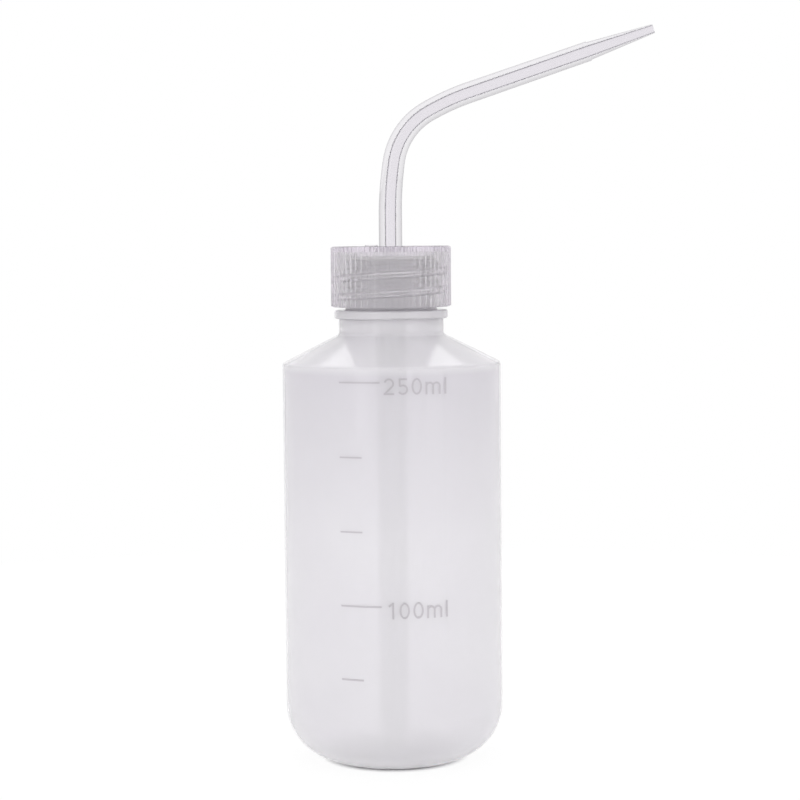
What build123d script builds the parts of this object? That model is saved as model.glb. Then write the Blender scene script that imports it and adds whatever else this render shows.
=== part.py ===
from build123d import *
import math
import os

# Wash bottle, in millimetres. +Z is up and the origin is the middle of the ring that the bottle stands on.
# The spout points along +X, and the graduations are on the -Y side.

# Bottle body
BODY_RADIUS = 30.0
WALL = 1.6
BASE_CORNER_RADIUS = 15.0
REST_RING_WIDTH = 2.5
PUSH_UP_HEIGHT = 3.0
PUSH_UP_RIM_FILLET = 1.0
SHOULDER_EDGE_HEIGHT = 109.7
SHOULDER_ANGLE = 26.6
SHOULDER_EDGE_FILLET = 1.0
SHOULDER_INNER_FILLET = 2.0

# Neck, transfer bead and the finish that the cap screws on
FINISH_RADIUS = 12.6
FINISH_WALL = 1.8
FINISH_LENGTH = 13.8
FINISH_FILLET = 0.4
NECK_STEP = 1.8
NECK_LENGTH = 4.2
NECK_FILLET = 1.2
BEAD_WIDTH = 1.2
BEAD_THICKNESS = 2.4
BEAD_FILLET = 0.6

# Screw thread, right-hand: the ridge on the neck, and the one in the cap that runs just below it
THREAD_PITCH = 5.0
THREAD_DEPTH = 1.15
THREAD_CREST_WIDTH = 0.9
THREAD_ROOT_WIDTH = 2.4
THREAD_START_GAP = 4.2
THREAD_END_GAP = 1.6
THREAD_START_ANGLE = 126.0
THREAD_RADIAL_CLEARANCE = 0.3
THREAD_FLANK_CLEARANCE = 0.25
CAP_THREAD_LEAD_TURNS = 0.06
CAP_THREAD_EXTRA_TURNS = 0.1
CAP_THREAD_CREST_WIDTH = 0.7
THREAD_EMBED = 0.4

# Sealing washer and the spout's foot, stacked on the mouth
WASHER_THICKNESS = 0.8
FLANGE_THICKNESS = 1.2
CENTRING_RING_DEPTH = 2.5
CENTRING_RING_WALL = 0.8
CENTRING_CLEARANCE = 0.15
NIPPLE_RADIUS = 2.8
NIPPLE_LENGTH = 12.0
NIPPLE_LEAD = 0.4

# Screw cap
CAP_PLATE_THICKNESS = 1.6
CAP_WALL = 2.15
CAP_BEAD_GAP = 0.8
CAP_RIB_COUNT = 60
CAP_RIB_RADIUS = 0.5
CAP_RIB_HEIGHT = 0.3
CAP_RIB_END_GAP = 0.3
CAP_EDGE_FILLET = 0.25
CAP_HOLE_CLEARANCE = 0.25
GATE_MARK_RADIUS = 1.75
GATE_MARK_HEIGHT = 0.35
GATE_MARK_GAP = 0.1

# Spout: an upright leg, a bend of three arcs, a straight run that tapers, a step and a conical tip
SPOUT_BORE_RADIUS = 1.1
LEG_RADIUS = 3.2
LEG_LENGTH = 10.1
BEND_ENTRY_RADIUS = 98.0
BEND_ENTRY_ANGLE = 8.5
BEND_RADIUS = 18.7
BEND_ANGLE = 52.0
BEND_EXIT_RADIUS = 65.0
BEND_EXIT_ANGLE = 11.0
BEND_TUBE_RADIUS = 2.88
RUN_LENGTH = 34.4
RUN_END_RADIUS = 2.72
TIP_BASE_RADIUS = 2.5
TIP_LENGTH = 18.6
TIP_MOUTH_RADIUS = 1.25
TIP_MOUTH_BORE_RADIUS = 0.75

# Dip tube
DIP_TUBE_WALL = 1.15
DIP_TUBE_FIT_CLEARANCE = 0.05
DIP_TUBE_END_GAP = 1.9

# Graduations: raised lines and numerals on the front, one line for each step of volume
VOLUME_STEP = 50.0
TOP_VOLUME = 250
NUMBERED_VOLUMES = (250, 100)
TOP_MARK_DROP = 3.8
MARK_RELIEF = 0.25
MARK_EMBED = 0.4
MARK_THICKNESS = 0.42
MARK_LEFT = -13.8
SHORT_MARK_LENGTH = 5.8
LONG_MARK_LENGTH = 10.7
LABEL_GAP = 1.05
NUMERAL_HEIGHT = 4.35
NUMERAL_WIDTH = 2.75
NUMERAL_GAP = 0.9
NUMERAL_STROKE = 0.5
NUMERAL_DROP = 3.2
UNIT_GAP = 1.0
ONE_STEM_LEFT = 1.98
ONE_FLAG_WIDTH = 1.16
ONE_FLAG_DROP = 0.74
TWO_HOOK_START_ANGLE = -45.0
TWO_HOOK_ANGLE = 210.0
FIVE_BOWL_START_ANGLE = -150.0
FIVE_BOWL_ANGLE = 285.0
FIVE_STEM_LEFT = 0.55
SMALL_M_HEIGHT = 3.3
SMALL_M_ARCH_RADIUS = 0.88

# Radii that follow from the sizes above
PUSH_UP_RADIUS = BODY_RADIUS - BASE_CORNER_RADIUS - REST_RING_WIDTH
PUSH_UP_SPHERE_RADIUS = (PUSH_UP_RADIUS ** 2 + PUSH_UP_HEIGHT ** 2) / (2 * PUSH_UP_HEIGHT)
MOUTH_BORE_RADIUS = FINISH_RADIUS - FINISH_WALL
NECK_RADIUS = FINISH_RADIUS + NECK_STEP
BEAD_RADIUS = NECK_RADIUS + BEAD_WIDTH
THREAD_CREST_RADIUS = FINISH_RADIUS + THREAD_DEPTH
THREAD_FLANK_SLOPE = (THREAD_ROOT_WIDTH - THREAD_CREST_WIDTH) / 2 / THREAD_DEPTH
CAP_THREAD_CREST_RADIUS = FINISH_RADIUS + THREAD_RADIAL_CLEARANCE
CAP_INNER_RADIUS = THREAD_CREST_RADIUS + THREAD_RADIAL_CLEARANCE
CAP_CORE_RADIUS = CAP_INNER_RADIUS + CAP_WALL
CAP_HOLE_RADIUS = LEG_RADIUS + CAP_HOLE_CLEARANCE
DIP_TUBE_BORE_RADIUS = NIPPLE_RADIUS + DIP_TUBE_FIT_CLEARANCE
DIP_TUBE_RADIUS = DIP_TUBE_BORE_RADIUS + DIP_TUBE_WALL

# Heights that follow, stacked from the ring that the bottle stands on to the top of the cap
SHOULDER_HEIGHT = (BODY_RADIUS - NECK_RADIUS) * math.tan(math.radians(SHOULDER_ANGLE))
BEAD_BOTTOM = SHOULDER_EDGE_HEIGHT + SHOULDER_HEIGHT + NECK_LENGTH
BEAD_TOP = BEAD_BOTTOM + BEAD_THICKNESS
MOUTH_HEIGHT = BEAD_TOP + FINISH_LENGTH
FLANGE_BOTTOM = MOUTH_HEIGHT + WASHER_THICKNESS
FLANGE_TOP = FLANGE_BOTTOM + FLANGE_THICKNESS
CAP_TOP = FLANGE_TOP + CAP_PLATE_THICKNESS
CAP_BOTTOM = BEAD_TOP + CAP_BEAD_GAP
THREAD_START_HEIGHT = BEAD_TOP + THREAD_START_GAP
THREAD_TURNS = (FINISH_LENGTH - THREAD_START_GAP - THREAD_END_GAP) / THREAD_PITCH
DIP_TUBE_BOTTOM = PUSH_UP_HEIGHT + WALL + DIP_TUBE_END_GAP
TOP_MARK_HEIGHT = SHOULDER_EDGE_HEIGHT - TOP_MARK_DROP
MARK_SPACING = VOLUME_STEP * 1000 / (math.pi * (BODY_RADIUS - WALL) ** 2)


def turned(corners):
    """Solid of revolution about Z from (radius, height, fillet) corners of a closed outline."""
    points = [(radius, height) for radius, height, fillet_radius in corners]
    fillets = [fillet_radius for radius, height, fillet_radius in corners]
    outline = FilletPolyline(*points, radius=fillets, close=True)
    return revolve(Plane.XZ * make_face(outline), Axis.Z)


def ring(inner_radius, outer_radius, bottom, top):
    """Plain ring about Z."""
    return turned([
        (inner_radius, bottom, 0.0),
        (outer_radius, bottom, 0.0),
        (outer_radius, top, 0.0),
        (inner_radius, top, 0.0),
    ])


def helical_ridge(wall_radius, crest_radius, crest_width, turns):
    """Right-hand thread ridge that starts at +X and height 0, sunk into the wall that carries it."""
    buried_radius = wall_radius - math.copysign(THREAD_EMBED, crest_radius - wall_radius)
    buried_width = crest_width + 2 * THREAD_FLANK_SLOPE * abs(crest_radius - buried_radius)
    section = make_face(Polyline(
        (buried_radius, -buried_width / 2),
        (crest_radius, -crest_width / 2),
        (crest_radius, crest_width / 2),
        (buried_radius, buried_width / 2),
        close=True,
    ))
    path = Helix(THREAD_PITCH, THREAD_PITCH * turns, wall_radius)
    return sweep(Plane.XZ * section, path=path, is_frenet=True)


def body_corners(inset, edge_fillet):
    """Corners of the body's outline from the bottom's middle to the neck, moved inwards by inset."""
    slope = math.radians(SHOULDER_ANGLE)
    edge_height = SHOULDER_EDGE_HEIGHT - inset * (1 - math.sin(slope)) / math.cos(slope)
    return [
        (0.0, inset, 0.0),
        (BODY_RADIUS - inset, inset, BASE_CORNER_RADIUS - inset),
        (BODY_RADIUS - inset, edge_height, edge_fillet),
        (NECK_RADIUS - inset, edge_height + SHOULDER_HEIGHT, NECK_FILLET),
    ]


def push_up_sphere(wall):
    """Ball whose top is the pushed-up middle of the bottom, grown by a wall."""
    return Pos(0, 0, PUSH_UP_HEIGHT - PUSH_UP_SPHERE_RADIUS) * Sphere(PUSH_UP_SPHERE_RADIUS + wall)


def digit_zero():
    """Numeral 0: an upright oval ring."""
    half_width = NUMERAL_WIDTH / 2
    half_height = NUMERAL_HEIGHT / 2
    outer = Ellipse(half_width, half_height)
    inner = Ellipse(half_width - NUMERAL_STROKE, half_height - NUMERAL_STROKE)
    return Pos(half_width, half_height) * (outer - inner)


def digit_one():
    """Numeral 1: a stem with a small flag."""
    top = NUMERAL_HEIGHT - NUMERAL_STROKE / 2
    flag = Line((ONE_STEM_LEFT - ONE_FLAG_WIDTH, top - ONE_FLAG_DROP), (ONE_STEM_LEFT, top))
    stem = Line((ONE_STEM_LEFT, NUMERAL_HEIGHT), (ONE_STEM_LEFT, 0))
    return trace(flag, NUMERAL_STROKE) + trace(stem, NUMERAL_STROKE)


def digit_two():
    """Numeral 2: a hook, a slanting back and a foot."""
    half = NUMERAL_STROKE / 2
    bowl = NUMERAL_WIDTH / 2 - half
    centre = (NUMERAL_WIDTH / 2, NUMERAL_HEIGHT - half - bowl)
    hook = CenterArc(centre, bowl, TWO_HOOK_START_ANGLE, TWO_HOOK_ANGLE)
    back = Line(hook @ 0, (half, half))
    foot = Line((0, half), (NUMERAL_WIDTH, half))
    return trace(hook, NUMERAL_STROKE) + trace(back, NUMERAL_STROKE) + trace(foot, NUMERAL_STROKE)


def digit_five():
    """Numeral 5: a bar, a short stem and an open bowl."""
    half = NUMERAL_STROKE / 2
    bowl = NUMERAL_WIDTH / 2 - half
    centre = (NUMERAL_WIDTH / 2, half + bowl)
    bar_height = NUMERAL_HEIGHT - half
    arc = CenterArc(centre, bowl, FIVE_BOWL_START_ANGLE, FIVE_BOWL_ANGLE)
    stem = Line((FIVE_STEM_LEFT, bar_height), arc @ 1)
    bar = Line((FIVE_STEM_LEFT - half, bar_height), (NUMERAL_WIDTH - half, bar_height))
    return trace(arc, NUMERAL_STROKE) + trace(stem, NUMERAL_STROKE) + trace(bar, NUMERAL_STROKE)


DIGITS = {"0": digit_zero, "1": digit_one, "2": digit_two, "5": digit_five}


def letter_m():
    """Small m: three stems under two arches."""
    half = NUMERAL_STROKE / 2
    arch_width = 2 * SMALL_M_ARCH_RADIUS
    spring = SMALL_M_HEIGHT - half - SMALL_M_ARCH_RADIUS
    letter = trace(Line((half, 0), (half, SMALL_M_HEIGHT)), NUMERAL_STROKE)
    for left in (half, half + arch_width):
        arch = CenterArc((left + SMALL_M_ARCH_RADIUS, spring), SMALL_M_ARCH_RADIUS, 0, 180)
        stem = Line((left + arch_width, spring), (left + arch_width, 0))
        letter += trace(arch, NUMERAL_STROKE) + trace(stem, NUMERAL_STROKE)
    return letter


def letter_l():
    """Small l: a plain stem."""
    half = NUMERAL_STROKE / 2
    return trace(Line((half, 0), (half, NUMERAL_HEIGHT)), NUMERAL_STROKE)


def volume_label(volume):
    """Numerals and unit of one graduation, with the first numeral's foot at the origin."""
    label = Sketch()
    left = 0.0
    for digit in str(volume):
        label += Pos(left, 0) * DIGITS[digit]()
        left += NUMERAL_WIDTH + NUMERAL_GAP
    label += Pos(left, 0) * letter_m()
    left += letter_m().bounding_box().max.X + UNIT_GAP
    label += Pos(left, 0) * letter_l()
    return label


def graduations():
    """Raised lines and numerals, bent to the front of the body."""
    flat = Sketch()
    label_left = MARK_LEFT + LONG_MARK_LENGTH + LABEL_GAP
    for step in range(round(TOP_VOLUME / VOLUME_STEP)):
        volume = round(TOP_VOLUME - step * VOLUME_STEP)
        height = TOP_MARK_HEIGHT - step * MARK_SPACING
        length = LONG_MARK_LENGTH if volume in NUMBERED_VOLUMES else SHORT_MARK_LENGTH
        flat += Pos(MARK_LEFT + length / 2, height) * Rectangle(length, MARK_THICKNESS)
        if volume in NUMBERED_VOLUMES:
            flat += Pos(label_left, height - NUMERAL_DROP) * volume_label(volume)
    proud = extrude(Plane.XZ * flat, 2 * BODY_RADIUS)
    shell_height = SHOULDER_EDGE_HEIGHT - BASE_CORNER_RADIUS
    middle = Pos(0, 0, BASE_CORNER_RADIUS + shell_height / 2)
    shell = Cylinder(BODY_RADIUS + MARK_RELIEF, shell_height)
    shell -= Cylinder(BODY_RADIUS - MARK_EMBED, shell_height)
    return proud & (middle * shell)


def make_bottle():
    """Blow-moulded bottle in one piece."""
    outer = turned(body_corners(0.0, SHOULDER_EDGE_FILLET) + [
        (NECK_RADIUS, BEAD_BOTTOM, 0.0),
        (BEAD_RADIUS, BEAD_BOTTOM, BEAD_FILLET),
        (BEAD_RADIUS, BEAD_TOP, BEAD_FILLET),
        (FINISH_RADIUS, BEAD_TOP, FINISH_FILLET),
        (FINISH_RADIUS, MOUTH_HEIGHT, FINISH_FILLET),
        (0.0, MOUTH_HEIGHT, 0.0),
    ])
    outer -= push_up_sphere(0.0)
    rim = outer.edges().filter_by(GeomType.CIRCLE).group_by(Axis.Z)[0].sort_by(SortBy.RADIUS)[0]
    outer = fillet(rim, PUSH_UP_RIM_FILLET)
    inner = turned(body_corners(WALL, SHOULDER_INNER_FILLET) + [
        (NECK_RADIUS - WALL, BEAD_BOTTOM - WALL, NECK_FILLET),
        (MOUTH_BORE_RADIUS, BEAD_TOP, NECK_FILLET),
        (MOUTH_BORE_RADIUS, MOUTH_HEIGHT + WALL, 0.0),
        (0.0, MOUTH_HEIGHT + WALL, 0.0),
    ])
    inner -= push_up_sphere(WALL)
    thread = helical_ridge(FINISH_RADIUS, THREAD_CREST_RADIUS, THREAD_CREST_WIDTH, THREAD_TURNS)
    placed_thread = Pos(0, 0, THREAD_START_HEIGHT) * Rot(0, 0, THREAD_START_ANGLE) * thread
    return outer - inner + placed_thread + graduations()


def make_washer():
    """Soft ring that seals the mouth."""
    return ring(MOUTH_BORE_RADIUS, FINISH_RADIUS, MOUTH_HEIGHT, FLANGE_BOTTOM)


def cap_thread():
    """Ridge in the cap, a flank clearance below the neck's ridge."""
    turns = THREAD_TURNS + CAP_THREAD_EXTRA_TURNS
    ridge = helical_ridge(CAP_INNER_RADIUS, CAP_THREAD_CREST_RADIUS, CAP_THREAD_CREST_WIDTH, turns)
    crests = (THREAD_CREST_WIDTH + CAP_THREAD_CREST_WIDTH) / 2
    flanks = THREAD_FLANK_SLOPE * (THREAD_CREST_RADIUS - CAP_THREAD_CREST_RADIUS)
    drop = crests + flanks + THREAD_FLANK_CLEARANCE
    height = THREAD_START_HEIGHT - drop - CAP_THREAD_LEAD_TURNS * THREAD_PITCH
    angle = THREAD_START_ANGLE - CAP_THREAD_LEAD_TURNS * 360
    return Pos(0, 0, height) * Rot(0, 0, angle) * ridge


def make_cap():
    """Ribbed screw cap with a hole for the spout."""
    shell = turned([
        (CAP_INNER_RADIUS, CAP_BOTTOM, 0.0),
        (CAP_CORE_RADIUS, CAP_BOTTOM, CAP_EDGE_FILLET),
        (CAP_CORE_RADIUS, CAP_TOP, CAP_EDGE_FILLET),
        (CAP_HOLE_RADIUS, CAP_TOP, 0.0),
        (CAP_HOLE_RADIUS, FLANGE_TOP, 0.0),
        (CAP_INNER_RADIUS, FLANGE_TOP, 0.0),
    ])
    rib_length = CAP_TOP - CAP_BOTTOM - 2 * CAP_RIB_END_GAP
    rib_centre = CAP_CORE_RADIUS + CAP_RIB_HEIGHT - CAP_RIB_RADIUS
    rib_places = PolarLocations(rib_centre, CAP_RIB_COUNT)
    rounds = Sketch() + [place * Circle(CAP_RIB_RADIUS) for place in rib_places]
    placed_ribs = Pos(0, 0, CAP_BOTTOM + CAP_RIB_END_GAP) * extrude(rounds, rib_length)
    gate_height = CAP_PLATE_THICKNESS / 2 + GATE_MARK_HEIGHT
    gate_offset = CAP_HOLE_RADIUS + GATE_MARK_GAP + GATE_MARK_RADIUS
    gate_place = Pos(-gate_offset, 0, CAP_TOP + GATE_MARK_HEIGHT - gate_height / 2)
    gate_mark = gate_place * Cylinder(GATE_MARK_RADIUS, gate_height)
    return shell + cap_thread() + placed_ribs + gate_mark


def across(edge, position, radius):
    """Circle of the given radius square to an edge at a share of its length."""
    return Plane(origin=edge @ position, z_dir=edge % position) * Circle(radius)


def spout_edges():
    """Middle line of the spout above the flange, as one edge for each stretch."""
    leg = Line((0, FLANGE_TOP), (0, FLANGE_TOP + LEG_LENGTH))
    entry = JernArc(leg @ 1, leg % 1, BEND_ENTRY_RADIUS, -BEND_ENTRY_ANGLE)
    bend = JernArc(entry @ 1, entry % 1, BEND_RADIUS, -BEND_ANGLE)
    leave = JernArc(bend @ 1, bend % 1, BEND_EXIT_RADIUS, -BEND_EXIT_ANGLE)
    run = Line(leave @ 1, leave @ 1 + (leave % 1) * RUN_LENGTH)
    tip = Line(run @ 1, run @ 1 + (run % 1) * TIP_LENGTH)
    return [(Plane.XZ * stretch).edge() for stretch in (leg, entry, bend, leave, run, tip)]


def make_spout():
    """Bent clear spout with its flange, centring ring and nipple."""
    edges = spout_edges()
    entry_radius = (LEG_RADIUS + BEND_TUBE_RADIUS) / 2
    ends = [
        (LEG_RADIUS, LEG_RADIUS),
        (LEG_RADIUS, entry_radius),
        (entry_radius, BEND_TUBE_RADIUS),
        (BEND_TUBE_RADIUS, BEND_TUBE_RADIUS),
        (BEND_TUBE_RADIUS, RUN_END_RADIUS),
        (TIP_BASE_RADIUS, TIP_MOUTH_RADIUS),
    ]
    nipple_bottom = FLANGE_BOTTOM - NIPPLE_LENGTH
    ring_radius = MOUTH_BORE_RADIUS - CENTRING_CLEARANCE
    ring_bottom = MOUTH_HEIGHT - CENTRING_RING_DEPTH
    spout = turned([
        (0.0, nipple_bottom, 0.0),
        (NIPPLE_RADIUS, nipple_bottom, NIPPLE_LEAD),
        (NIPPLE_RADIUS, FLANGE_BOTTOM, 0.0),
        (ring_radius - CENTRING_RING_WALL, FLANGE_BOTTOM, 0.0),
        (ring_radius - CENTRING_RING_WALL, ring_bottom, 0.0),
        (ring_radius, ring_bottom, 0.0),
        (ring_radius, FLANGE_BOTTOM, 0.0),
        (FINISH_RADIUS, FLANGE_BOTTOM, 0.0),
        (FINISH_RADIUS, FLANGE_TOP, 0.0),
        (0.0, FLANGE_TOP, 0.0),
    ])
    for edge, (first, last) in zip(edges, ends):
        sections = [across(edge, 0, first), across(edge, 1, last)]
        spout += sweep(sections, path=edge, multisection=True)
    foot = Vector(0, 0, nipple_bottom)
    bore_path = Wire([Edge.make_line(foot, edges[0] @ 0)] + edges[:-1])
    bore = sweep(Plane(origin=foot, z_dir=(0, 0, 1)) * Circle(SPOUT_BORE_RADIUS), path=bore_path)
    tip = edges[-1]
    tip_sections = [across(tip, 0, SPOUT_BORE_RADIUS), across(tip, 1, TIP_MOUTH_BORE_RADIUS)]
    return spout - bore - sweep(tip_sections, path=tip, multisection=True)


def make_dip_tube():
    """Straight tube from the spout's nipple to just above the bottom."""
    return ring(DIP_TUBE_BORE_RADIUS, DIP_TUBE_RADIUS, DIP_TUBE_BOTTOM, FLANGE_BOTTOM)


NODES = {
    "bottle": make_bottle,
    "sealing_washer": make_washer,
    "screw_cap": make_cap,
    "spout": make_spout,
    "dip_tube": make_dip_tube,
}

os.makedirs("parts", exist_ok=True)
for name, make in NODES.items():
    export_step(make(), os.path.join("parts", name + ".step"))
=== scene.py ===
import math

import bpy
from mathutils import Matrix, Vector


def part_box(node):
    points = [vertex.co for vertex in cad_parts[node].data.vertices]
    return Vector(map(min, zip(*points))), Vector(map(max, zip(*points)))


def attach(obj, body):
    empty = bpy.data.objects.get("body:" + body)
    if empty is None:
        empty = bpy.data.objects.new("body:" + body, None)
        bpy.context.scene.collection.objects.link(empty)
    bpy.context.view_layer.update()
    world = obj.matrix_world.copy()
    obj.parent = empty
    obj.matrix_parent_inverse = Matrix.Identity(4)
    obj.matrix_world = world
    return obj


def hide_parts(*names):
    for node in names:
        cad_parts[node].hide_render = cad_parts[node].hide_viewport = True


# Looks of a wash bottle, in metres. This script gives the frame's pieces their finish, makes the clear
# spout again in finer faces, and sets the floor, the light and the camera.

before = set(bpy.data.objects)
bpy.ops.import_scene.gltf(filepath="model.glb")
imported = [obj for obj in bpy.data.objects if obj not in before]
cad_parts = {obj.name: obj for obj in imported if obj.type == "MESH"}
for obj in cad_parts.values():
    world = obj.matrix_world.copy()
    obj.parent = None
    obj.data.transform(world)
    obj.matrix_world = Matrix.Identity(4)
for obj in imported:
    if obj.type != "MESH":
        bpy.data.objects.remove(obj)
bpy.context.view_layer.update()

# Camera: the photograph is 800 pixels wide and was taken level with the cap's top, looking slightly down
SENSOR_WIDTH_MM = 36.0
IMAGE_WIDTH = 800
FOCAL_LENGTH_PIXELS = 2084
CAMERA_DISTANCE = 0.573
CAMERA_HEIGHT = 0.1415
CAMERA_SIDE = 0.0022
CAMERA_PITCH_DOWN = 4.226
CAMERA_ROLL = 0.5

# Studio light on surfaces: its mean, and what it loses towards the sides and the back
MEAN_LIGHT = 1.3
SIDE_LOSS = 0.35
BACK_LOSS = 0.15

# Studio white in reflections and through clear plastic: what it loses towards the sides and the ceiling
GLOSS_SIDE_LOSS = 0.55
GLOSS_CEILING_LOSS = 0.5
CLEAR_SIDE_LOSS = 0.3
CLEAR_CEILING_LOSS = 0.4
CEILING_START = 0.3

# Lamps: where they stand, their size as (width, height) and their brightness against the white studio
LAMP_TARGET = (0.0, 0.0, 0.1)
FRONT_LAMP_SIZE = (0.2, 0.6)
LEFT_LAMP_PLACE = (-0.38, -0.65, 0.3)
LEFT_LAMP_BRIGHTNESS = 0.8
RIGHT_LAMP_PLACE = (0.5, -0.5, 0.3)
RIGHT_LAMP_BRIGHTNESS = 0.4
OVERHEAD_LAMP_PLACE = (0.0, 0.4, 0.72)
OVERHEAD_LAMP_SIZE = (0.7, 0.4)
OVERHEAD_LAMP_BRIGHTNESS = 1.4

# Floor: its shadow is strong close to where the bottle stands, faint around it and gone further away
FLOOR_HALF_WIDTH = 3.0
CONTACT_RADII = (0.0172, 0.0205)
CONTACT_WHITE = (0.0, 0.95)
FLOOR_SHADOW_RADIUS = 0.1
FLOOR_WHITE_RADIUS = 0.4

# Sizes read from the frame
BOTTLE_LOW, BOTTLE_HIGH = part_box("bottle")
BODY_RADIUS = BOTTLE_HIGH.x
MARK_RELIEF = -BOTTLE_LOW.y - BODY_RADIUS

# Foot of the spout
FLANGE_TOP = 0.13991
FLANGE_BOTTOM = 0.13871
FLANGE_RADIUS = 0.0126
CENTRING_RING_RADIUS = 0.01065
CENTRING_RING_BORE = 0.00985
CENTRING_RING_BOTTOM = 0.13541
NIPPLE_RADIUS = 0.0028
NIPPLE_BOTTOM = 0.12671
NIPPLE_LEAD = 0.0004

# Tube of the spout
LEG_LENGTH = 0.0101
LEG_RADIUS = 0.0032
ENTRY_BEND_RADIUS = 0.098
ENTRY_BEND_DEGREES = 8.5
ENTRY_RADIUS = 0.00304
MAIN_BEND_RADIUS = 0.0187
MAIN_BEND_DEGREES = 52.0
BEND_TUBE_RADIUS = 0.00288
EXIT_BEND_RADIUS = 0.065
EXIT_BEND_DEGREES = 11.0
RUN_LENGTH = 0.0344
RUN_END_RADIUS = 0.00272
TIP_LENGTH = 0.0186
TIP_BASE_RADIUS = 0.0025
TIP_MOUTH_RADIUS = 0.00125
SPOUT_BORE_RADIUS = 0.0011
MOUTH_BORE_RADIUS = 0.00075

ENTRY_BEND_LENGTH = ENTRY_BEND_RADIUS * math.radians(ENTRY_BEND_DEGREES)
MAIN_BEND_LENGTH = MAIN_BEND_RADIUS * math.radians(MAIN_BEND_DEGREES)
EXIT_BEND_LENGTH = EXIT_BEND_RADIUS * math.radians(EXIT_BEND_DEGREES)

# Middle line of the tube in stretches, each as (length, turn in degrees, first radius, last radius)
SPOUT_STRETCHES = (
    (LEG_LENGTH, 0.0, LEG_RADIUS, LEG_RADIUS),
    (ENTRY_BEND_LENGTH, ENTRY_BEND_DEGREES, LEG_RADIUS, ENTRY_RADIUS),
    (MAIN_BEND_LENGTH, MAIN_BEND_DEGREES, ENTRY_RADIUS, BEND_TUBE_RADIUS),
    (EXIT_BEND_LENGTH, EXIT_BEND_DEGREES, BEND_TUBE_RADIUS, BEND_TUBE_RADIUS),
    (RUN_LENGTH, 0.0, BEND_TUBE_RADIUS, RUN_END_RADIUS),
)
RING_SPACING = 0.00025
RING_SIDES = 144
SHARP_ANGLE = 30.0

# Milky wall of the bottle: colours are linear, noise scales are features per metre
MILKY_COLOUR = (0.975, 0.962, 0.988, 1.0)
MILKY_CLOUD_COLOUR = (0.957, 0.941, 0.972, 1.0)
CLOUD_SCALE = 45.0
CLOUD_DETAIL = 3.0
CLOUD_EDGES = (0.35, 0.65)
# Painted shade just under the shoulder edge: its colour, and the heights where it starts, is full and ends
SHOULDER_SHADE_COLOUR = (0.87, 0.85, 0.89, 1.0)
SHOULDER_SHADE_HEIGHTS = (0.065, 0.1075, 0.1095)
# Painted shade on the raised lines and numerals: its colour, and the share of their height over which it
# comes in
MARK_SHADE_COLOUR = (0.72, 0.70, 0.72, 1.0)
MARK_SHADE_EDGES = (0.2, 0.8)
MILKY_ROUGHNESS = 0.14
MILKY_INDEX = 1.5
MILKY_CLEARNESS = 0.55
MILKY_DENSITY = 45.0
WAVE_SCALE = 900.0
WAVE_STRENGTH = 0.03
WAVE_HEIGHT = 0.0001

# What a thickness of the bottle's or the cap's plastic lets through
THICK_COLOUR = (0.80, 0.74, 0.83, 1.0)

# Dip tube
DIP_TUBE_COLOUR = (0.90, 0.89, 0.91, 1.0)
STREAK_SCALE = 300.0
STREAK_EDGES = (0.4, 0.6)
STREAK_SHADE = 0.96
DIP_TUBE_ROUGHNESS = 0.3
DIP_TUBE_CLEARNESS = 0.3

# Cap, with painted shade where it is seen edge-on
CAP_COLOUR = (0.985, 0.97, 0.99, 1.0)
CAP_EDGE_SHADE_COLOUR = (0.84, 0.79, 0.86, 1.0)
CAP_EDGES = (0.35, 1.0)
CAP_ROUGHNESS = 0.07
CAP_CLEARNESS = 0.84
CAP_DENSITY = 40.0

# Clear spout, outside and bore, with painted dark lines where each is seen edge-on; the bore's low index
# keeps its edge lines clean
CLEAR_COLOUR = (0.885, 0.87, 0.895, 1.0)
CLEAR_EDGE_SHADE_COLOUR = (0.26, 0.24, 0.27, 1.0)
CLEAR_EDGE_CLEARNESS = 0.7
CLEAR_EDGES = (0.45, 0.9)
CLEAR_ROUGHNESS = 0.0
CLEAR_INDEX = 1.49
BORE_EDGE_SHADE_COLOUR = (0.06, 0.05, 0.08, 1.0)
BORE_EDGE_CLEARNESS = 0.8
BORE_EDGES = (0.35, 0.7)
BORE_INDEX = 1.12

# Washer
SEAL_COLOUR = (0.85, 0.85, 0.84, 1.0)
GRAIN_SCALE = 800.0
GRAIN_EDGES = (0.3, 0.7)
GRAIN_SHADE = 0.95
SEAL_ROUGHNESS = 0.7


def new_material(name, absorbed=None, density=0.0):
    """Node material with one plastic shader and, where given, the colour that its thickness lets through."""
    material = bpy.data.materials.new(name)
    material.use_nodes = True
    tree = material.node_tree
    tree.nodes.clear()
    shader = tree.nodes.new("ShaderNodeBsdfPrincipled")
    output = tree.nodes.new("ShaderNodeOutputMaterial")
    tree.links.new(shader.outputs["BSDF"], output.inputs["Surface"])
    if absorbed is not None:
        inside = tree.nodes.new("ShaderNodeVolumeAbsorption")
        inside.inputs["Color"].default_value = absorbed
        inside.inputs["Density"].default_value = density
        tree.links.new(inside.outputs["Volume"], output.inputs["Volume"])
    return material, tree, shader


def node(tree, kind, **values):
    """New node with its inputs or properties set by name."""
    made = tree.nodes.new(kind)
    for key, value in values.items():
        if key in made.inputs:
            made.inputs[key].default_value = value
        else:
            setattr(made, key, value)
    return made


def noise(tree, scale, detail=2.0):
    """Noise in the object's own metres; scale is features per metre."""
    place = node(tree, "ShaderNodeTexCoord")
    made = node(tree, "ShaderNodeTexNoise", Scale=scale, Detail=detail)
    tree.links.new(place.outputs["Object"], made.inputs["Vector"])
    return made.outputs["Fac"]


def ranged(tree, value, low, high, to_low=0.0, to_high=1.0):
    """Value mapped from one range to another and clamped."""
    made = node(tree, "ShaderNodeMapRange")
    made.inputs["From Min"].default_value = low
    made.inputs["From Max"].default_value = high
    made.inputs["To Min"].default_value = to_low
    made.inputs["To Max"].default_value = to_high
    tree.links.new(value, made.inputs["Value"])
    return made.outputs["Result"]


def fed(tree, socket, value):
    """Sets a socket to a number or links it to another socket."""
    if isinstance(value, (int, float)):
        socket.default_value = value
    else:
        tree.links.new(value, socket)


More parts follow.
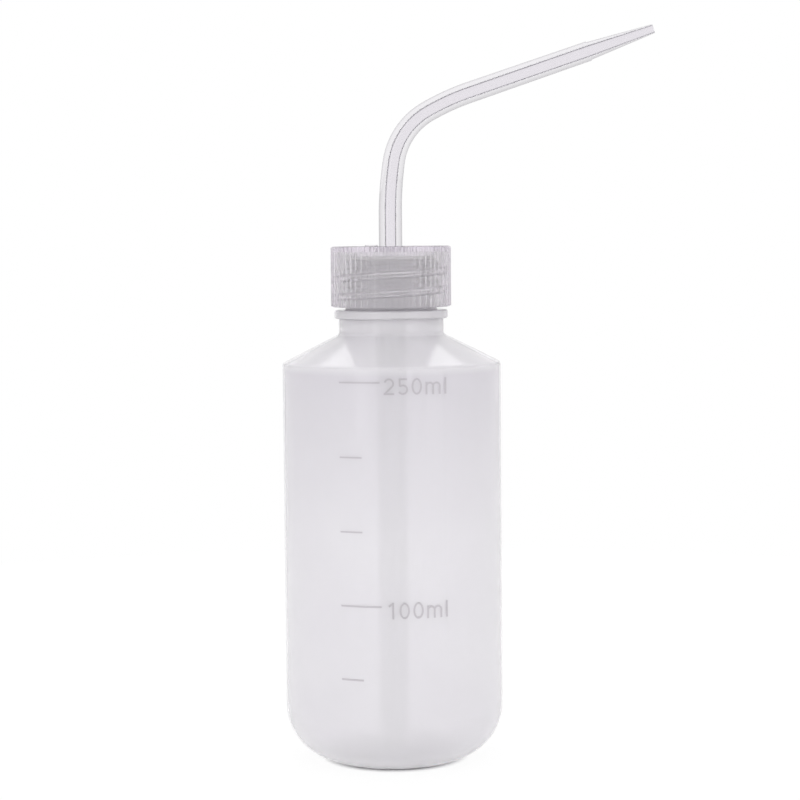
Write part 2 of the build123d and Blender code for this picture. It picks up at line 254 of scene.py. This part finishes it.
def worked(tree, operation, first, second):
    """Result of an operation on two numbers or sockets."""
    made = node(tree, "ShaderNodeMath", operation=operation)
    fed(tree, made.inputs[0], first)
    fed(tree, made.inputs[1], second)
    return made.outputs[0]


def dimmed(tree, start, *losses):
    """A level less each value times its loss."""
    level = start
    for value, loss in losses:
        level = worked(tree, "SUBTRACT", level, worked(tree, "MULTIPLY", value, loss))
    return level


def chosen(tree, which, first, second):
    """First value where which is 0, second where it is 1."""
    made = node(tree, "ShaderNodeMix", data_type="FLOAT")
    fed(tree, made.inputs["Factor"], which)
    fed(tree, made.inputs["A"], first)
    fed(tree, made.inputs["B"], second)
    return made.outputs["Result"]


def mixed(tree, share, first, second):
    """Colour mixed from two colours or sockets by a share."""
    made = node(tree, "ShaderNodeMix", data_type="RGBA")
    tree.links.new(share, made.inputs["Factor"])
    for name, colour in (("A", first), ("B", second)):
        socket = [s for s in made.inputs if s.name == name and s.type == "RGBA"][0]
        if isinstance(colour, tuple):
            socket.default_value = colour
        else:
            tree.links.new(colour, socket)
    return [s for s in made.outputs if s.type == "RGBA"][0]


def shaded(colour, share):
    """A colour made darker."""
    return tuple(share * part for part in colour[:3]) + (1.0,)


def shoulder_shade(tree, place):
    """How much painted shade darkens the wall just under the shoulder, from 0 to 1."""
    start, full, end = SHOULDER_SHADE_HEIGHTS
    parts = node(tree, "ShaderNodeSeparateXYZ")
    tree.links.new(place, parts.inputs["Vector"])
    below = ranged(tree, parts.outputs["Z"], start, full)
    above = ranged(tree, parts.outputs["Z"], full, end, 1.0, 0.0)
    return worked(tree, "MULTIPLY", below, above)


def mark_shade_share(tree, place):
    """1 on the raised lines and numerals, which stand out from the body and get painted shade, and 0 on its
    wall.
    """
    flat = node(tree, "ShaderNodeVectorMath", operation="MULTIPLY")
    flat.inputs[1].default_value = (1.0, 1.0, 0.0)
    tree.links.new(place, flat.inputs[0])
    radius = node(tree, "ShaderNodeVectorMath", operation="LENGTH")
    tree.links.new(flat.outputs["Vector"], radius.inputs[0])
    low, high = (BODY_RADIUS + share * MARK_RELIEF for share in MARK_SHADE_EDGES)
    return ranged(tree, radius.outputs["Value"], low, high)


def milky_polyethylene():
    """Blow-moulded translucent wall: cloudy and faintly wavy, with painted shade on its relief marks and
    just under the shoulder.
    """
    material, tree, shader = new_material("milky_polyethylene", THICK_COLOUR, MILKY_DENSITY)
    place = node(tree, "ShaderNodeTexCoord").outputs["Object"]
    cloud = ranged(tree, noise(tree, CLOUD_SCALE, CLOUD_DETAIL), *CLOUD_EDGES)
    wall = mixed(tree, cloud, MILKY_COLOUR, MILKY_CLOUD_COLOUR)
    # Painted shade darkens the wall just under the shoulder edge
    wall = mixed(tree, shoulder_shade(tree, place), wall, SHOULDER_SHADE_COLOUR)
    # Painted shade darkens the raised lines and numerals
    wall = mixed(tree, mark_shade_share(tree, place), wall, MARK_SHADE_COLOUR)
    tree.links.new(wall, shader.inputs["Base Color"])
    shader.inputs["Roughness"].default_value = MILKY_ROUGHNESS
    shader.inputs["IOR"].default_value = MILKY_INDEX
    shader.inputs["Transmission Weight"].default_value = MILKY_CLEARNESS
    bump = node(tree, "ShaderNodeBump", Strength=WAVE_STRENGTH, Distance=WAVE_HEIGHT)
    tree.links.new(noise(tree, WAVE_SCALE), bump.inputs["Height"])
    tree.links.new(bump.outputs["Normal"], shader.inputs["Normal"])
    return material


def dip_tube_plastic():
    """Extruded translucent tube, faintly uneven."""
    material, tree, shader = new_material("dip_tube_plastic")
    streak = ranged(tree, noise(tree, STREAK_SCALE), *STREAK_EDGES)
    tint = mixed(tree, streak, DIP_TUBE_COLOUR, shaded(DIP_TUBE_COLOUR, STREAK_SHADE))
    tree.links.new(tint, shader.inputs["Base Color"])
    shader.inputs["Roughness"].default_value = DIP_TUBE_ROUGHNESS
    shader.inputs["Transmission Weight"].default_value = DIP_TUBE_CLEARNESS
    return material


def edge_shade_share(tree, edges):
    """Share of painted edge shade: 0 where a surface faces the eye and 1 where it is seen edge-on."""
    weight = node(tree, "ShaderNodeLayerWeight")
    return ranged(tree, weight.outputs["Facing"], *edges)


def natural_polypropylene():
    """Translucent moulded cap, with painted shade where it is seen edge-on."""
    material, tree, shader = new_material("natural_polypropylene", THICK_COLOUR, CAP_DENSITY)
    # Painted shade: the cap turns darker where it is seen edge-on
    tint = mixed(tree, edge_shade_share(tree, CAP_EDGES), CAP_COLOUR, CAP_EDGE_SHADE_COLOUR)
    tree.links.new(tint, shader.inputs["Base Color"])
    shader.inputs["Roughness"].default_value = CAP_ROUGHNESS
    shader.inputs["IOR"].default_value = CLEAR_INDEX
    shader.inputs["Transmission Weight"].default_value = CAP_CLEARNESS
    return material


def clear_surface(name, index, edge_shade_colour, edge_clearness, edges):
    """Clear glossy plastic, with painted shade and less clearness where it is seen edge-on."""
    material, tree, shader = new_material(name)
    share = edge_shade_share(tree, edges)
    # Painted shade: the plastic turns darker and less clear where it is seen edge-on, drawing dark edge
    # lines
    tree.links.new(mixed(tree, share, CLEAR_COLOUR, edge_shade_colour), shader.inputs["Base Color"])
    tree.links.new(chosen(tree, share, 1.0, edge_clearness), shader.inputs["Transmission Weight"])
    shader.inputs["Roughness"].default_value = CLEAR_ROUGHNESS
    shader.inputs["IOR"].default_value = index
    return material


def soft_seal():
    """Soft pale washer."""
    material, tree, shader = new_material("soft_seal")
    grain = ranged(tree, noise(tree, GRAIN_SCALE), *GRAIN_EDGES)
    tint = mixed(tree, grain, SEAL_COLOUR, shaded(SEAL_COLOUR, GRAIN_SHADE))
    tree.links.new(tint, shader.inputs["Base Color"])
    shader.inputs["Roughness"].default_value = SEAL_ROUGHNESS
    return material


def dress(node_name, material):
    """Gives a frame node its material."""
    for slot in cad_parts[node_name].material_slots:
        slot.material = material


def advanced(x, z, heading, length, turn):
    """Place and heading after a stretch; heading is the angle from +Z towards +X."""
    if turn == 0.0:
        return x + length * math.sin(heading), z + length * math.cos(heading), heading
    radius = length / turn
    last = heading + turn
    x += radius * (math.cos(heading) - math.cos(last))
    z += radius * (math.sin(last) - math.sin(heading))
    return x, z, last


def spout_rings():
    """Outer and bore rings of the spout, each as (x, z, heading, radius)."""
    outer = [
        (0.0, NIPPLE_BOTTOM, 0.0, NIPPLE_RADIUS - NIPPLE_LEAD),
        (0.0, NIPPLE_BOTTOM + NIPPLE_LEAD, 0.0, NIPPLE_RADIUS),
        (0.0, FLANGE_BOTTOM, 0.0, NIPPLE_RADIUS),
        (0.0, FLANGE_BOTTOM, 0.0, CENTRING_RING_BORE),
        (0.0, CENTRING_RING_BOTTOM, 0.0, CENTRING_RING_BORE),
        (0.0, CENTRING_RING_BOTTOM, 0.0, CENTRING_RING_RADIUS),
        (0.0, FLANGE_BOTTOM, 0.0, CENTRING_RING_RADIUS),
        (0.0, FLANGE_BOTTOM, 0.0, FLANGE_RADIUS),
        (0.0, FLANGE_TOP, 0.0, FLANGE_RADIUS),
        (0.0, FLANGE_TOP, 0.0, LEG_RADIUS),
    ]
    bore = [
        (0.0, NIPPLE_BOTTOM, 0.0, SPOUT_BORE_RADIUS),
        (0.0, FLANGE_TOP, 0.0, SPOUT_BORE_RADIUS),
    ]
    x, z, heading = 0.0, FLANGE_TOP, 0.0
    for length, degrees, first, last in SPOUT_STRETCHES:
        count = math.ceil(length / RING_SPACING) if degrees else 1
        for step in range(1, count + 1):
            share = step / count
            place = advanced(x, z, heading, share * length, share * math.radians(degrees))
            outer.append(place + (first + share * (last - first),))
            bore.append(place + (SPOUT_BORE_RADIUS,))
        x, z, heading = place
    mouth = advanced(x, z, heading, TIP_LENGTH, 0.0)
    outer.append((x, z, heading, TIP_BASE_RADIUS))
    outer.append(mouth + (TIP_MOUTH_RADIUS,))
    bore.append(mouth + (MOUTH_BORE_RADIUS,))
    return outer, bore


def ring_points(x, z, heading, radius):
    """Points of one ring, square to the heading."""
    points = []
    for side in range(RING_SIDES):
        angle = 2 * math.pi * side / RING_SIDES
        across = radius * math.cos(angle)
        points.append((
            x + across * math.cos(heading), radius * math.sin(angle), z - across * math.sin(heading)
        ))
    return points


def make_spout(outside, inside):
    """Spout with the frame's shape in finer faces, because clear plastic shows every facet."""
    outer, bore = spout_rings()
    rings = outer + bore[::-1]
    vertices = [point for ring in rings for point in ring_points(*ring)]
    faces = []
    for ring in range(len(rings)):
        upper = (ring + 1) % len(rings)
        for side in range(RING_SIDES):
            beside = (side + 1) % RING_SIDES
            faces.append((
                ring * RING_SIDES + side, ring * RING_SIDES + beside,
                upper * RING_SIDES + beside, upper * RING_SIDES + side,
            ))
    mesh = bpy.data.meshes.new("clear_spout")
    mesh.from_pydata(vertices, [], faces)
    mesh.shade_smooth()
    mesh.set_sharp_from_angle(angle=math.radians(SHARP_ANGLE))
    mesh.materials.append(outside)
    mesh.materials.append(inside)
    for index, face in enumerate(mesh.polygons):
        if len(outer) <= index // RING_SIDES < len(rings) - 1:
            face.material_index = 1
    spout = bpy.data.objects.new("clear_spout", mesh)
    bpy.context.scene.collection.objects.link(spout)
    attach(spout, "spout_body")
    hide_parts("spout")
    return spout


def make_camera():
    """Camera of the photograph."""
    data = bpy.data.cameras.new("camera")
    data.sensor_width = SENSOR_WIDTH_MM
    data.lens = FOCAL_LENGTH_PIXELS / IMAGE_WIDTH * SENSOR_WIDTH_MM
    camera = bpy.data.objects.new("camera", data)
    bpy.context.scene.collection.objects.link(camera)
    tilt = Matrix.Rotation(math.radians(90 - CAMERA_PITCH_DOWN), 4, "X")
    roll = Matrix.Rotation(math.radians(-CAMERA_ROLL), 4, "Z")
    place = Matrix.Translation((CAMERA_SIDE, -CAMERA_DISTANCE, CAMERA_HEIGHT))
    camera.matrix_world = place @ tilt @ roll
    bpy.context.scene.camera = camera


def seen_directly(tree):
    """1 for rays from the camera, off a gloss or through a clear part; 0 for the light on surfaces."""
    path = node(tree, "ShaderNodeLightPath")
    seen = worked(tree, "MAXIMUM", path.outputs["Is Camera Ray"], path.outputs["Is Glossy Ray"])
    return worked(tree, "MAXIMUM", seen, path.outputs["Is Transmission Ray"])


def make_world():
    """White studio: plain white to the camera, uneven as light and as what gloss and clear parts show."""
    world = bpy.data.worlds.new("studio")
    bpy.context.scene.world = world
    world.use_nodes = True
    tree = world.node_tree
    tree.nodes.clear()
    direction = node(tree, "ShaderNodeTexCoord")
    parts = node(tree, "ShaderNodeSeparateXYZ")
    tree.links.new(direction.outputs["Generated"], parts.inputs["Vector"])
    side = worked(tree, "MULTIPLY", parts.outputs["X"], parts.outputs["X"])
    back = parts.outputs["Y"]
    ceiling = ranged(tree, parts.outputs["Z"], CEILING_START, 1.0)
    lighting = dimmed(tree, MEAN_LIGHT, (side, SIDE_LOSS), (back, BACK_LOSS))
    gloss = dimmed(tree, 1.0, (side, GLOSS_SIDE_LOSS), (ceiling, GLOSS_CEILING_LOSS))
    clear = dimmed(tree, 1.0, (side, CLEAR_SIDE_LOSS), (ceiling, CLEAR_CEILING_LOSS))
    path = node(tree, "ShaderNodeLightPath")
    scattered = worked(tree, "MINIMUM", path.outputs["Diffuse Depth"], 1.0)
    straight = worked(tree, "SUBTRACT", path.outputs["Is Transmission Ray"], scattered)
    strength = chosen(tree, path.outputs["Is Glossy Ray"], lighting, gloss)
    strength = chosen(tree, worked(tree, "MAXIMUM", straight, 0.0), strength, clear)
    strength = chosen(tree, path.outputs["Is Camera Ray"], strength, 1.0)
    background = node(tree, "ShaderNodeBackground", Color=(1.0, 1.0, 1.0, 1.0))
    tree.links.new(strength, background.inputs["Strength"])
    output = node(tree, "ShaderNodeOutputWorld")
    tree.links.new(background.outputs["Background"], output.inputs["Surface"])


def make_floor():
    """White floor that keeps a soft shadow."""
    half = FLOOR_HALF_WIDTH
    mesh = bpy.data.meshes.new("floor")
    corners = [(-half, -half, 0.0), (half, -half, 0.0), (half, half, 0.0), (-half, half, 0.0)]
    mesh.from_pydata(corners, [], [(0, 1, 2, 3)])
    floor = bpy.data.objects.new("floor", mesh)
    bpy.context.scene.collection.objects.link(floor)
    material = bpy.data.materials.new("floor")
    material.use_nodes = True
    tree = material.node_tree
    tree.nodes.clear()
    diffuse = node(tree, "ShaderNodeBsdfDiffuse", Color=(1.0, 1.0, 1.0, 1.0))
    glow = node(tree, "ShaderNodeEmission", Color=(1.0, 1.0, 1.0, 1.0), Strength=1.0)
    place = node(tree, "ShaderNodeTexCoord")
    away = node(tree, "ShaderNodeVectorMath", operation="LENGTH")
    tree.links.new(place.outputs["Object"], away.inputs[0])
    # The floor glows white to the camera, in gloss and through clear parts, in a share that is 0 at the
    # bottle's edge and grows outwards: painted light that fades the real shadow away from the base
    far = ranged(tree, away.outputs["Value"], FLOOR_SHADOW_RADIUS, FLOOR_WHITE_RADIUS)
    near = ranged(tree, away.outputs["Value"], *CONTACT_RADII, *CONTACT_WHITE)
    share = worked(tree, "MULTIPLY", seen_directly(tree), worked(tree, "MAXIMUM", far, near))
    mix = node(tree, "ShaderNodeMixShader")
    tree.links.new(share, mix.inputs["Fac"])
    tree.links.new(diffuse.outputs["BSDF"], mix.inputs[1])
    tree.links.new(glow.outputs["Emission"], mix.inputs[2])
    output = node(tree, "ShaderNodeOutputMaterial")
    tree.links.new(mix.outputs["Shader"], output.inputs["Surface"])
    mesh.materials.append(material)


def make_lamp(name, place, size, brightness):
    """Soft rectangular lamp aimed at the bottle; brightness 1 is as bright as the white studio."""
    data = bpy.data.lights.new(name, "AREA")
    data.shape = "RECTANGLE"
    data.size, data.size_y = size
    data.energy = brightness * math.pi * data.size * data.size_y
    lamp = bpy.data.objects.new(name, data)
    bpy.context.scene.collection.objects.link(lamp)
    lamp.visible_transmission = False
    lamp.location = place
    lamp.rotation_euler = (Vector(LAMP_TARGET) - Vector(place)).to_track_quat("-Z", "Y").to_euler()
    return lamp


def keep_off(lamp, piece):
    """Keeps a lamp's light off one piece."""
    receivers = bpy.data.collections.new(lamp.name + "_receivers")
    receivers.objects.link(piece)
    receivers.collection_objects[0].light_linking.link_state = "EXCLUDE"
    lamp.light_linking.receiver_collection = receivers


make_camera()
make_world()
make_floor()
make_lamp("left_lamp", LEFT_LAMP_PLACE, FRONT_LAMP_SIZE, LEFT_LAMP_BRIGHTNESS)
make_lamp("right_lamp", RIGHT_LAMP_PLACE, FRONT_LAMP_SIZE, RIGHT_LAMP_BRIGHTNESS)
overhead_lamp = make_lamp("overhead_lamp", OVERHEAD_LAMP_PLACE, OVERHEAD_LAMP_SIZE, OVERHEAD_LAMP_BRIGHTNESS)

dress("bottle", milky_polyethylene())
dress("dip_tube", dip_tube_plastic())
dress("screw_cap", natural_polypropylene())
dress("sealing_washer", soft_seal())

spout_outside = clear_surface(
    "clear_plastic", CLEAR_INDEX, CLEAR_EDGE_SHADE_COLOUR, CLEAR_EDGE_CLEARNESS, CLEAR_EDGES
)
spout_inside = clear_surface(
    "clear_bore", BORE_INDEX, BORE_EDGE_SHADE_COLOUR, BORE_EDGE_CLEARNESS, BORE_EDGES
)
keep_off(overhead_lamp, make_spout(spout_outside, spout_inside))

bpy.context.scene.view_settings.view_transform = "Standard"
